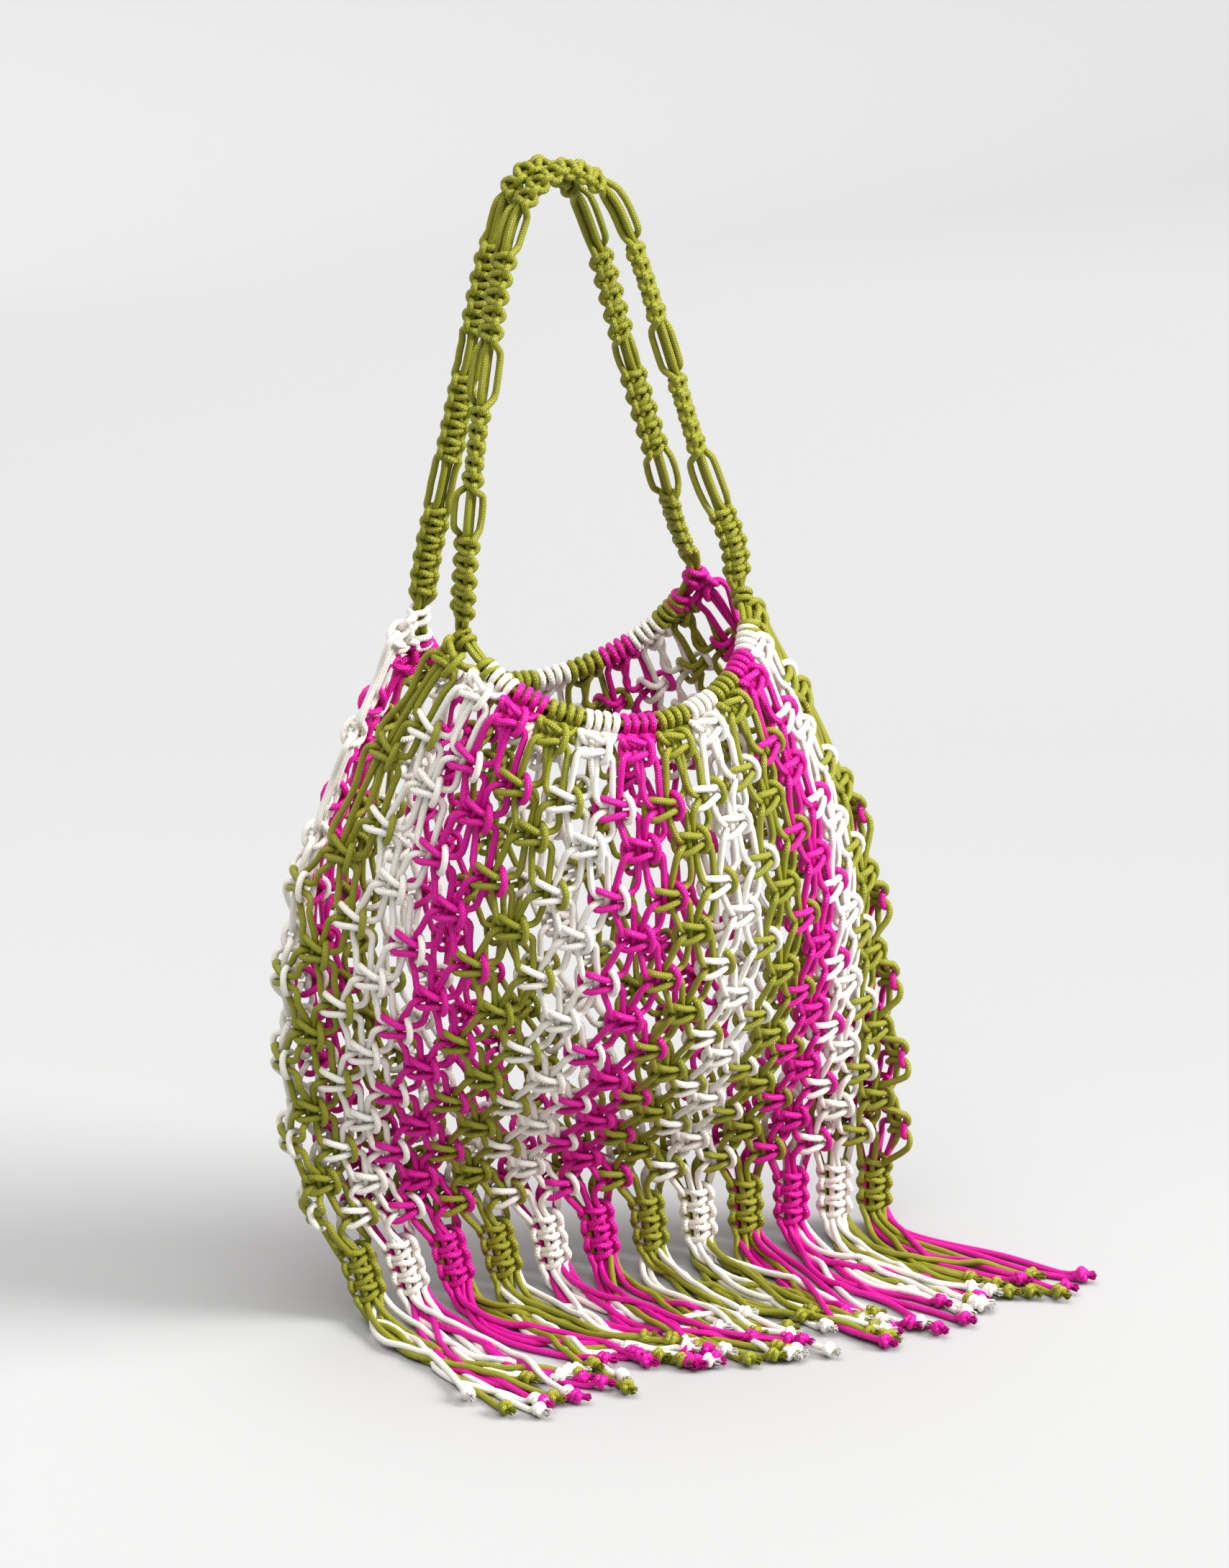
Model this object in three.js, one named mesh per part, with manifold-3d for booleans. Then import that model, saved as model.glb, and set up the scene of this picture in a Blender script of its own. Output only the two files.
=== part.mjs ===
// Knotted cord net bag: two upright handles, two net panels of twelve columns
// and a row of twelve tassels. Millimetres, +Z up, origin at the top of the handles.
import * as THREE from 'three';
import { mergeVertices } from 'three/addons/utils/BufferGeometryUtils.js';
import Module from 'manifold-3d';

const wasm = await Module();
wasm.setup();

// Driving dimensions
const COLUMNS = 12;
const GAP = 0.4;
const NET_THICKNESS = 8;
const FLOOR_Z = -690;
const RIM_ROW = -1;
const SEAM_ROW = 14;
const SINNET_ROW = 16;
const PIERCED_CELLS = 5;
const BACK_RIM_SAG = 15;
const BACK_SAG_ENDS_ROW = 4;
const BULGE_POWER = 1.8;

const RIM_CORE = 6.4;
const RIM_CLEARANCE = 0.6;
const RING_SIZE = 13;
const RING_HALF_SPAN = 0.45;
const ROOT_COLUMN = 0.2;

const STRAP_WIDTH = 15;
const STRAP_THICKNESS = 8;
const STRETCH_WIDTH = 11;
const STRETCH_THICKNESS = 5;
const KNOTTED_BLOCKS = 7;
const BLOCK_SHARE = 0.62;

const HEAD_WIDTH = 20;
const HEAD_DEPTH = 12;
const LOCK_WIDTH = 7;
const LOCK_THICKNESS = 8;
const LOCK_SPACING = 6;
const FRINGE_REACH = 155;
const FRINGE_TURN = THREE.MathUtils.degToRad(20);
const LOCK_FAN = THREE.MathUtils.degToRad(0.5);

// Outlines of a bar's section, in shares of its width and thickness
const SIX_SIDED = [[0.5, 0], [0.3, 0.5], [-0.3, 0.5], [-0.5, 0], [-0.3, -0.5], [0.3, -0.5]];
const FOUR_SIDED = [[0.5, 0.5], [-0.5, 0.5], [-0.5, -0.5], [0.5, -0.5]];

const COLOURS = { olive: 0x7f8a2a, ivory: 0xefebe3, magenta: 0xcf12a8 };
const LETTERS = { O: 'olive', W: 'ivory', M: 'magenta' };
const COLUMN_COLOURS = { front: 'OWMOWMOWOMWO', back: 'WMOWMOWOMWOM' };

// One row for each section of the net, from the rim down to the sinnets' lower ends.
// midX, halfWidth: the section's middle and half its width. crowding: how far the columns
// are drawn towards the ends. shiftY, lean: the side line's place and its slant.
// gape: half the slit at the sides. frontBelly, backBelly: bulge of each panel.
// midZ, endRise: height of the middle, and how far the ends rise above it.
const SECTION_NAMES = ['row', 'midX', 'halfWidth', 'crowding', 'shiftY', 'lean',
  'gape', 'frontBelly', 'backBelly', 'midZ', 'endRise'];
const SECTIONS = [
  [-1, 26, 86, 0.45, 8, -6, 28, 55, 27, -306, 45],
  [0, 22, 98, 0.5, 6, -4, 22, 73, 42, -318, 56],
  [2, 25, 132, 0.4, 10, -12, 10, 96, 68, -374, 57],
  [4, 27, 160, 0.3, 10, -21, 6, 95, 76, -430, 52],
  [6, 28, 178, 0.22, 8, -26, 4.6, 81, 68, -484, 46],
  [8, 30, 184, 0.18, 7, -28, 4.6, 58, 50, -529, 39],
  [10, 35, 187, 0.14, 8, -31, 4.6, 34, 32, -565, 21],
  [12, 40, 186, 0.12, 6, -31, 4.6, 6, 8, -601, 8],
  [14, 51, 180, 0.1, 8, -26, 4.6, 0, 0, -640, 0],
  [16, 57, 176, 0.08, 8, -24, 4.6, 0, 0, -676, 0],
].map((values) => Object.fromEntries(SECTION_NAMES.map((name, i) => [name, values[i]])));

// Each strap's middle line from its left root to its right root, one row for each bend.
const STRAP_LINES = {
  front: [[-63, -18, -228], [-60, -20, -186], [-48, -17, -110], [-35, -12, -58],
    [-20, -8, -22], [9, -6, -5], [34, -8, -20], [48, -12, -50], [67, -17, -110],
    [91, -22, -188], [107, -25, -228]],
  back: [[-58, 36, -228], [-52, 26, -181], [-40, 17, -110], [-28, 11, -48],
    [-18, 8, -16], [-3, 6, -5], [20, 7, -19], [36, 11, -48], [61, 18, -119],
    [88, 25, -192], [103, 31, -232]],
};

// Smooth value of one column of the section table at any row.
function sectionValue(name, row) {
  const last = SECTIONS.length - 1;
  const next = SECTIONS.findIndex((section) => section.row >= row);
  const i = Math.min(Math.max((next < 0 ? last : next) - 1, 0), last - 1);
  const slope = (a, b) => (SECTIONS[b][name] - SECTIONS[a][name]) / (SECTIONS[b].row - SECTIONS[a].row);
  const startSlope = slope(Math.max(i - 1, 0), i + 1);
  const endSlope = slope(i, Math.min(i + 2, last));
  const span = SECTIONS[i + 1].row - SECTIONS[i].row;
  const t = (row - SECTIONS[i].row) / span;
  const rise = t * t * (3 - 2 * t);
  return SECTIONS[i][name] * (1 - rise) + SECTIONS[i + 1][name] * rise
    + span * (startSlope * t * (1 - t) ** 2 - endSlope * t * t * (1 - t));
}

// Place on the middle surface of a panel; columns run 1 to 12 from left to right.
function panelPoint(side, column, row) {
  const s = (column - (COLUMNS + 1) / 2) / (COLUMNS / 2);
  const at = (name) => sectionValue(name, row);
  const fall = 1 - Math.abs(s) ** BULGE_POWER;
  const outwards = side === 'front' ? -1 : 1;
  const sagShare = THREE.MathUtils.clamp(1 - (row - RIM_ROW) / (BACK_SAG_ENDS_ROW - RIM_ROW), 0, 1);
  const sag = side === 'back' ? BACK_RIM_SAG * sagShare * fall : 0;
  return new THREE.Vector3(
    at('midX') + at('halfWidth') * (s * (1 + at('crowding')) - at('crowding') * s ** 3),
    at('shiftY') + at('lean') * s + outwards * (at('gape') + at(`${side}Belly`) * fall),
    at('midZ') + at('endRise') * (1 - fall) - sag,
  );
}

// Level direction that points out of a panel.
function panelNormal(side, column, row) {
  const step = 0.05;
  const along = panelPoint(side, column + step, row).sub(panelPoint(side, column - step, row));
  const outwards = side === 'front' ? 1 : -1;
  return new THREE.Vector3(along.y, -along.x, 0).normalize().multiplyScalar(outwards);
}

function signedVolume(positions, indices) {
  const corner = (i) => new THREE.Vector3().fromArray(positions, 3 * indices[i]);
  let volume = 0;
  for (let i = 0; i < indices.length; i += 3) {
    volume += corner(i).dot(corner(i + 1).cross(corner(i + 2))) / 6;
  }
  return volume;
}

// Closed geometry from corners and faces, with its faces turned outwards.
function closedGeometry(positions, faces) {
  const indices = [];
  for (const face of faces) {
    for (let i = 1; i + 1 < face.length; i += 1) {
      indices.push(face[0], face[i], face[i + 1]);
    }
  }
  if (signedVolume(positions, indices) < 0) indices.reverse();
  const geometry = new THREE.BufferGeometry();
  geometry.setAttribute('position', new THREE.Float32BufferAttribute(positions, 3));
  geometry.setIndex(indices);
  return geometry;
}

// A patch of net thickened on both sides; its open edges get walls.
function slab(side, patches) {
  const places = new Map();
  const positions = [];
  const rows = [];
  const place = ([column, row]) => {
    const key = `${column.toFixed(4)} ${row.toFixed(4)}`;
    if (!places.has(key)) {
      const middle = panelPoint(side, column, row);
      const offset = panelNormal(side, column, row).multiplyScalar(NET_THICKNESS / 2);
      places.set(key, places.size);
      rows.push(row);
      positions.push(...middle.clone().add(offset), ...middle.clone().sub(offset));
    }
    return places.get(key);
  };
  const loops = patches.map((patch) => patch.map(place));
  const edges = new Map();
  const faces = [];
  for (const loop of loops) {
    faces.push(loop.map((i) => 2 * i));
    faces.push(loop.map((i) => 2 * i + 1).reverse());
    loop.forEach((start, i) => {
      const end = loop[(i + 1) % loop.length];
      if (!edges.delete(`${end} ${start}`)) edges.set(`${start} ${end}`, [start, end]);
    });
  }
  for (const [start, end] of edges.values()) {
    const wall = [2 * start, 2 * start + 1, 2 * end + 1, 2 * end];
    // A wall that rises is split the other way, so that neighbours' walls stay parallel.
    if (rows[start] > rows[end]) wall.push(wall.shift());
    faces.push(wall);
  }
  return closedGeometry(positions, faces);
}

// Bar through stations of { centre, across, out, width, thickness }.
function bar(stations, outline, closed = false) {
  const sides = outline.length;
  const positions = [];
  for (const { centre, across, out, width, thickness } of stations) {
    for (const [a, b] of outline) {
      const corner = centre.clone().addScaledVector(across, a * width);
      positions.push(...corner.addScaledVector(out, b * thickness));
    }
  }
  const faces = [];
  const spans = closed ? stations.length : stations.length - 1;
  for (let i = 0; i < spans; i += 1) {
    const next = (i + 1) % stations.length;
    for (let j = 0; j < sides; j += 1) {
      const k = (j + 1) % sides;
      faces.push([i * sides + j, i * sides + k, next * sides + k, next * sides + j]);
    }
  }
  if (!closed) {
    const ring = outline.map((_, j) => j);
    faces.push([...ring].reverse(), ring.map((j) => (stations.length - 1) * sides + j));
  }
  return closedGeometry(positions, faces);
}

// Axes of a bar's section: out is kept square to the run, across to both.
function station(centre, along, outHint, width, thickness) {
  const run = along.clone().normalize();
  const across = new THREE.Vector3().crossVectors(run, outHint).normalize();
  const out = new THREE.Vector3().crossVectors(across, run).normalize();
  return { centre, across, out, width, thickness };
}

function rimStation(side, column, size) {
  const step = 0.05;
  const before = panelPoint(side, column - step, RIM_ROW);
  const along = panelPoint(side, column + step, RIM_ROW).sub(before);
  const centre = panelPoint(side, column, RIM_ROW);
  return station(centre, along, panelNormal(side, column, RIM_ROW), size, size);
}

function rimBar(side, columns, size, outline) {
  return bar(columns.map((column) => rimStation(side, column, size)), outline);
}

function toSolid(geometry) {
  const plain = geometry.clone();
  plain.deleteAttribute('normal');
  plain.deleteAttribute('uv');
  const merged = mergeVertices(plain, 1e-4);
  const mesh = new wasm.Mesh({
    numProp: 3,
    vertProperties: new Float32Array(merged.attributes.position.array),
    triVerts: new Uint32Array(merged.index.array),
  });
  return new wasm.Manifold(mesh);
}

function toGeometry(solid) {
  const mesh = solid.getMesh();
  const geometry = new THREE.BufferGeometry();
  geometry.setAttribute('position', new THREE.BufferAttribute(mesh.vertProperties, 3));
  geometry.setIndex(new THREE.BufferAttribute(mesh.triVerts, 1));
  return geometry;
}

// Patches of one column: neck below its rim ring, pierced cells, then the plain lower net.
function columnPatches(column, pitch) {
  const inset = GAP / 2 / pitch;
  const half = 0.5 - inset;
  const topHalf = 0.3;
  const neckHalf = 0.42;
  const footHalf = 0.33;
  const holeHalf = 0.27;
  const holeMargin = 0.38;
  const patches = [];
  const quad = (upperHalf, upperRow, lowerHalf, lowerRow) => patches.push([
    [column - upperHalf, upperRow], [column - lowerHalf, lowerRow],
    [column + lowerHalf, lowerRow], [column + upperHalf, upperRow]]);
  const halfAt = (row) => (row === 0 ? neckHalf : half);
  quad(topHalf, -0.75, neckHalf, 0);
  for (let cell = 0; cell < PIERCED_CELLS; cell += 1) {
    const top = 2 * cell;
    const cellHalf = halfAt(top);
    const holeTop = [column, top + holeMargin];
    const holeFoot = [column, top + 2 - holeMargin];
    for (const turn of [-1, 1]) {
      const hole = [column + turn * holeHalf, top + 1];
      const upper = [[column + turn * cellHalf, top], [column + turn * half, top + 1], hole, holeTop];
      const lower = [[column + turn * half, top + 1], [column + turn * half, top + 2], holeFoot, hole];
      patches.push(turn < 0 ? upper : upper.reverse(), turn < 0 ? lower : lower.reverse());
    }
    patches.push([[column - cellHalf, top], holeTop, [column + cellHalf, top]]);
    patches.push([[column - half, top + 2], [column + half, top + 2], holeFoot]);
  }
  const plainTop = 2 * PIERCED_CELLS;
  quad(half, plainTop, half, SEAM_ROW - 2);
  quad(half, SEAM_ROW - 2, half, SEAM_ROW - 1);
  quad(half, SEAM_ROW - 1, footHalf, SEAM_ROW);
  return patches;
}

// Net column hung on the rim: a ring round the rim core and a pierced strip below it.
function columnGeometry(side, column) {
  const pitch = 2 * sectionValue('halfWidth', SEAM_ROW) / COLUMNS;
  const ringSpan = [column - RING_HALF_SPAN, column, column + RING_HALF_SPAN];
  const holeSpan = [column - 1, column - 0.5, column, column + 0.5, column + 1];
  const ring = toSolid(rimBar(side, ringSpan, RING_SIZE, SIX_SIDED));
  const hole = toSolid(rimBar(side, holeSpan, RIM_CORE + 2 * RIM_CLEARANCE, FOUR_SIDED));
  const strip = toSolid(slab(side, columnPatches(column, pitch)));
  return toGeometry(ring.add(strip).subtract(hole));
}

// Width and thickness along a strap: knotted blocks with slimmer open stretches between.
function strapShares() {
  const shares = [];
  const stretchShare = (1 - BLOCK_SHARE) / (KNOTTED_BLOCKS - 1);
  const blockShare = BLOCK_SHARE / KNOTTED_BLOCKS;
  const shoulder = 0.004;
  for (let block = 0; block < KNOTTED_BLOCKS; block += 1) {
    const start = block * (blockShare + stretchShare);
    const full = [start + shoulder, start + blockShare / 2, start + blockShare - shoulder];
    shares.push({ share: Math.max(start - shoulder, 0), knotted: block === 0 });
    full.forEach((share) => shares.push({ share, knotted: true }));
    const end = Math.min(start + blockShare + shoulder, 1);
    shares.push({ share: end, knotted: block === KNOTTED_BLOCKS - 1 });
  }
  return shares;
}

// One closed loop: the strap from root to root and the rim core that carries the columns.
function handleGeometry(side) {
  const line = new THREE.CatmullRomCurve3(
    STRAP_LINES[side].map((place) => new THREE.Vector3(...place)), false, 'centripetal');
  const outwards = side === 'front' ? -1 : 1;
  const facing = new THREE.Vector3(0, outwards, 0);
  const stations = strapShares().map(({ share, knotted }) => station(
    line.getPointAt(share), line.getTangentAt(share), facing,
    knotted ? STRAP_WIDTH : STRETCH_WIDTH, knotted ? STRAP_THICKNESS : STRETCH_THICKNESS));
  const columns = [];
  for (let column = COLUMNS + 0.5; column > 0; column -= 0.5) columns.push(column);
  const right = COLUMNS + 1 - ROOT_COLUMN;
  const rim = [right, ...columns, ROOT_COLUMN].map((column) => {
    const { centre, across, out } = rimStation(side, column, RIM_CORE);
    return { centre, across: across.negate(), out, width: RIM_CORE, thickness: RIM_CORE };
  });
  return bar([...stations, ...rim], SIX_SIDED, true);
}

// One lock of the fringe: it drops from the head to the floor and lies there.
function lockSolid(foot, place) {
  const heading = FRINGE_TURN + place * LOCK_FAN;
  const run = new THREE.Vector3(Math.sin(heading), -Math.cos(heading), 0);
  const up = new THREE.Vector3(0, 0, 1);
  const restZ = FLOOR_Z + LOCK_THICKNESS / 2;
  const start = foot.clone().add(new THREE.Vector3(place * LOCK_SPACING, 0, 0));
  const profile = [[-1, foot.z + 4, 0.8], [14, restZ + 3, 1], [34, restZ, 1],
    [FRINGE_REACH, restZ, 0.9]];
  return toSolid(bar(profile.map(([reach, z, size]) => {
    const centre = start.clone().addScaledVector(run, reach).setZ(z);
    return station(centre, run, up, LOCK_WIDTH * size, LOCK_THICKNESS * size);
  }), FOUR_SIDED));
}

// Sinnet head below the seam with its three locks of fringe.
function tasselGeometry(column) {
  const middle = (row) => panelPoint('front', column, row).setY(
    (panelPoint('front', column, row).y + panelPoint('back', column, row).y) / 2);
  const top = middle(SEAM_ROW);
  const foot = middle(SINNET_ROW);
  top.z -= GAP;
  const down = foot.clone().sub(top);
  const facing = new THREE.Vector3(0, -1, 0);
  const level = { across: new THREE.Vector3(1, 0, 0), out: facing };
  const size = { width: HEAD_WIDTH, thickness: HEAD_DEPTH };
  const head = [0, 1].map((share) => (
    { centre: top.clone().addScaledVector(down, share), ...level, ...size }));
  let solid = toSolid(bar(head, SIX_SIDED));
  for (const place of [-1, 0, 1]) solid = solid.add(lockSolid(foot, place));
  return toGeometry(solid);
}

function material(colour) {
  return new THREE.MeshStandardMaterial({ color: COLOURS[colour], roughness: 0.85, metalness: 0 });
}

function named(name, geometry, colour) {
  const mesh = new THREE.Mesh(geometry, material(colour));
  mesh.name = name;
  return mesh;
}

const bag = new THREE.Group();
for (const side of ['front', 'back']) {
  bag.add(named(`handle_${side}`, handleGeometry(side), 'olive'));
  for (let column = 1; column <= COLUMNS; column += 1) {
    const colour = LETTERS[COLUMN_COLOURS[side][column - 1]];
    const number = String(column).padStart(2, '0');
    bag.add(named(`${side}_column_${number}`, columnGeometry(side, column), colour));
  }
}
for (let column = 1; column <= COLUMNS; column += 1) {
  const colour = LETTERS[COLUMN_COLOURS.front[column - 1]];
  bag.add(named(`tassel_${String(column).padStart(2, '0')}`, tasselGeometry(column), colour));
}

export default bag;
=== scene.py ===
"""Dresses the net bag's frame with its real cords: knotted net, rim, handles and fringe."""

import math

import bpy
import numpy as np
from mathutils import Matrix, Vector
from mathutils.kdtree import KDTree


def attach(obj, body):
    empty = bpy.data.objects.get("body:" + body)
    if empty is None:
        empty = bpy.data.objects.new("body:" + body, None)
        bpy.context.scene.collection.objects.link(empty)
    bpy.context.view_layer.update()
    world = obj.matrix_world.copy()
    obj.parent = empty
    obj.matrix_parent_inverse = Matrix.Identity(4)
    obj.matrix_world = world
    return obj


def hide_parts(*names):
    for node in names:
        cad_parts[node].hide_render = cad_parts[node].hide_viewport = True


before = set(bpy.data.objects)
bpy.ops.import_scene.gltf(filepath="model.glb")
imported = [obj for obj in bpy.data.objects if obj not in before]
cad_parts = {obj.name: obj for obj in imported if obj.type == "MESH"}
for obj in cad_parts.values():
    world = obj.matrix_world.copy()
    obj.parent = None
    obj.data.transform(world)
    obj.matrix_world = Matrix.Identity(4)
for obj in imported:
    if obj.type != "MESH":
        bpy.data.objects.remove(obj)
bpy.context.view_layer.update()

bl_info = {
    "name": "Knotted Net Bag",
    "version": (1, 0, 0),
    "blender": (4, 5, 0),
    "location": "View3D > Sidebar > Net Bag",
    "description": "Builds a net bag of knotted cord with looped handles and a fringe",
    "category": "Add Mesh",
}

# Sizes are in millimetres up to the making of each curve, as on a maker's bench.
METRES = 0.001
COLUMNS = 12
PLACES = 2 * COLUMNS
CORD = 4.0
FLOOR_Z = -690.0
RIM_ROW = -1
SEAM_ROW = 14
SINNET_ROW = 16
FIRST_SIDE_JOINT = 5
BACK_RIM_SAG = 15.0
BACK_SAG_ENDS_ROW = 4
BULGE_POWER = 1.8
ROOT_COLUMN = 0.2

# Shares of each strap between which it is knotted, the square knots in each block, and the
# turn of each block from facing the front left, in degrees.
STRAP_BLOCKS = {
    "front": ((0.016, 0.105), (0.155, 0.235), (0.3, 0.387), (0.435, 0.541), (0.61, 0.693),
              (0.754, 0.838), (0.905, 0.985)),
    "back": ((0.012, 0.111), (0.161, 0.255), (0.296, 0.393), (0.442, 0.537), (0.614, 0.716),
             (0.753, 0.857), (0.907, 0.985)),
}
BLOCK_KNOTS = {"front": (5, 5, 5, 6, 5, 5, 5), "back": (5, 5, 5, 5, 5, 5, 5)}
BLOCK_TURNS = {"front": (-60, -85, -65, -85, -90, -90, -35), "back": (3, 5, 12, -80, -60, -45, 55)}
# How far the loose workers stand out from each open stretch, in cord diameters.
OPEN_BOWS = {"front": (1.95, 1.8, 1.5, 1.25, 1.4, 1.8), "back": (1.5, 1.5, 1.2, 1.3, 1.3, 2.0)}
# They lean to one side or the other by up to OPEN_LEAN, differently in each stretch, and stand
# nearer at its ends.
OPEN_LEAN = 0.25
LEAN_START = 1.0
LEAN_STEP = 2.3
BOW_AT_ENDS = 0.85
# Shares of an open stretch at which its cords are placed.
OPEN_SHARES = (0.15, 0.38, 0.62, 0.85)
# Where the two core cords lie, in cord diameters: across in a block, across and out in a stretch.
CORE_IN_BLOCK = 0.5
CORE_IN_STRETCH = (0.25, 0.45)
# A strap turns from a block to an open stretch over BLOCK_MARGIN of the strap's length in the
# block and TURN_SHARE of the stretch. Its way is measured over WAY_REACH millimetres each side.
BLOCK_MARGIN = 0.01
TURN_SHARE = 0.12
WAY_REACH = 3

# Width and depth of the knots in the straps and in the sinnets, as shares of the tight knot's.
STRAP_KNOT_SIZE = (0.88, 0.92)
SINNET_KNOT_SIZE = (1.3, 1.25)
SINNET_KNOTS = 3

# Columns and rows to each side of a place over which the ways of the net, of its rim and of the
# sinnets are measured.
NET_REACH = (0.26, 0.5)
RIM_REACH = 0.1
SINNET_REACH = 0.3

# A cord's points are at least CLOSEST_POINTS millimetres apart before it is smoothed. Rounds of
# easing then take its corners off. Thinning keeps a point at each turn of THIN_TURN, and one in
# every stretch of LONGEST_STEP millimetres.
CLOSEST_POINTS = 0.2
CORD_EASE = 8
THIN_TURN = math.radians(17)
LONGEST_STEP = 7.0
CORD_SIDES = 8

# The fringe's sweep to the right and its curl, and the shares by which its sweep and its reach
# fall off from the left tassel to the right one.
FRINGE_SEED = 11
FRINGE_TURN = math.radians(20)
FRINGE_BEND = math.radians(38)
TURN_FALL = 0.3
REACH_FALL = 0.12
FRINGE_STEPS = 40
# Least and most of what is drawn by chance: gather for each tassel, and the rest for each strand.
# Gather, fan, stray and wave are in degrees, bend is a share of FRINGE_BEND, waves and their start
# are in radians, reach and drop in millimetres, and lift in cord diameters.
FRINGE_RANGES = {
    "gather": (-7, 7), "fan": (-1, 2), "stray": (-13, 13), "bend": (0.7, 1.35), "wave": (10, 24),
    "waves": (5, 10), "wave_start": (0, 6.3), "reach": (126, 172), "drop": (8, 30), "lift": (0, 0.8),
}
# The strands lie in layers over the floor, in cord diameters. With a higher DROP_POWER they stay
# up longer and then fall more steeply.
FRINGE_LAYERS = 3
FIRST_LAYER = 0.52
LAYER_HEIGHT = 0.85
DROP_POWER = 1.3
# A sinnet's eight strands at its foot, in millimetres: across from one to the next, and out from
# its middle. The front column's four leave it in front and the back column's four behind; their
# places run from 0 at the left to 7 at the right.
STRANDS = 8
FOOT_PITCH = 2.1
FOOT_DEPTH = 2.2
FRONT_PLACES = (0, 2, 4, 6)
BACK_PLACES = (7, 5, 3, 1)

# Pushing the fringe's strands apart: the rounds, the rounds from one search to the next, the
# bias up or down in millimetres, the share of each overlap that a round takes, the share of that
# which goes sideways, the easing, and the sinking in millimetres.
PUSH_ROUNDS = 70
PUSH_SEARCH = 10
PUSH_UP = 0.6
PUSH_SHARE = 0.3
PUSH_SIDEWAYS = 0.6
PUSH_EASE = 0.04
PUSH_SINK = 0.1

# The frayed end of a cord. Its fibres start TUFT_ROOT millimetres inside the cord and within
# TUFT_RING of its middle line, and TUFT_FAN is how far they fan out at their middles and tips. The
# outermost are shorter by TUFT_FALL, and by chance each is down to TUFT_SHORTEST of that.
TUFT_SEED = 3
TUFT_FIBRES = 34
TUFT_FIBRE = 0.75
TUFT_SIDES = 3
TUFT_LENGTH = 4.2
TUFT_SHORTEST = 0.8
TUFT_ROOT = 1.0
TUFT_RING = 0.42 * CORD
TUFT_FALL = 0.45
TUFT_MIDDLE = 0.45
TUFT_FAN = (1.45, 1.6)
TUFT_FLOOR = 0.4

LETTERS = {"O": "olive", "W": "ivory", "M": "magenta"}
COLUMN_COLOURS = {"front": "OWMOWMOWOMWO", "back": "WMOWMOWOMWOM"}

# The braid: its carriers round the cord, the length of a plait in metres, the share of each colour
# left as painted shade in the grooves between the plaits, the relief heights where that painted
# shade ends and the full colour starts, and the strength and the depth in metres of its relief.
BRAID_CARRIERS = 10
PLAIT_LENGTH = 0.0015
BRAID_PAINTED_SHADE = {"olive": 0.08, "ivory": 0.86, "magenta": 0.22}
BRAID_EDGE = 0.1
BRAID_CROWN = 0.75
BRAID_BUMP = 0.7
BRAID_RELIEF = 0.0004
# The cord's gloss, and the soft unevenness of its colour.
CORD_FINISH = {"Roughness": 0.34, "Sheen Weight": 0.04, "Sheen Roughness": 0.4,
               "Specular IOR Level": 0.5}
UNEVEN_SCALE = 60
UNEVEN_DETAIL = 3
UNEVEN_SHARE = 0.1

# One row for each section of the net, from the rim down to the sinnets' lower ends:
# the same table as in the part's source.
SECTION_NAMES = ("row", "mid_x", "half_width", "crowding", "shift_y", "lean",
                 "gape", "front_belly", "back_belly", "mid_z", "end_rise")
SECTIONS = [dict(zip(SECTION_NAMES, values)) for values in (
    (-1, 26, 86, 0.45, 8, -6, 28, 55, 27, -306, 45),
    (0, 22, 98, 0.5, 6, -4, 22, 73, 42, -318, 56),
    (2, 25, 132, 0.4, 10, -12, 10, 96, 68, -374, 57),
    (4, 27, 160, 0.3, 10, -21, 6, 95, 76, -430, 52),
    (6, 28, 178, 0.22, 8, -26, 4.6, 81, 68, -484, 46),
    (8, 30, 184, 0.18, 7, -28, 4.6, 58, 50, -529, 39),
    (10, 35, 187, 0.14, 8, -31, 4.6, 34, 32, -565, 21),
    (12, 40, 186, 0.12, 6, -31, 4.6, 6, 8, -601, 8),
    (14, 51, 180, 0.1, 8, -26, 4.6, 0, 0, -640, 0),
    (16, 57, 176, 0.08, 8, -24, 4.6, 0, 0, -676, 0),
)]

# Each strap's middle line from its left root to its right root, one row for each bend.
STRAP_LINES = {
    "front": ((-63, -18, -228), (-60, -20, -186), (-48, -17, -110), (-35, -12, -58),
              (-20, -8, -22), (9, -6, -5), (34, -8, -20), (48, -12, -50), (67, -17, -110),
              (91, -22, -188), (107, -25, -228)),
    "back": ((-58, 36, -228), (-52, 26, -181), (-40, 17, -110), (-28, 11, -48),
             (-18, 8, -16), (-3, 6, -5), (20, 7, -19), (36, 11, -48), (61, 18, -119),
             (88, 25, -192), (103, 31, -232)),
}

# Width of a column's own knots as shares of the drawn one's, in the top row and in the others.
TOP_KNOT_WIDTH = 0.8
KNOT_WIDTH = 0.92

# Cords of a square knot, in cord diameters: across to the right, down, and out of the net.
# Worker A comes in from the right and makes the two bars; worker B comes in from the left,
# passes behind and clasps the bars' right ends with one upright bump.
KNOT_A = ((3.1, -3.0, -0.3), (3.05, -2.0, -0.4), (2.55, -1.15, -0.4), (1.5, -1.0, 0.05),
          (0.5, -0.9, 0.95), (-0.8, -1.25, 1.1), (-2.0, -1.65, 0.95), (-2.95, -1.8, 0.4),
          (-3.35, -1.2, -0.45), (-3.4, -0.2, -0.75), (-3.3, 0.8, -0.5), (-2.9, 1.35, 0.25),
          (-2.0, 1.2, 0.9), (-0.8, 0.7, 1.1), (0.5, 0.35, 1.0), (1.5, 0.5, 0.1),
          (2.55, 0.8, -0.4), (3.05, 1.6, -0.4), (3.1, 2.6, -0.3))
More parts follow.
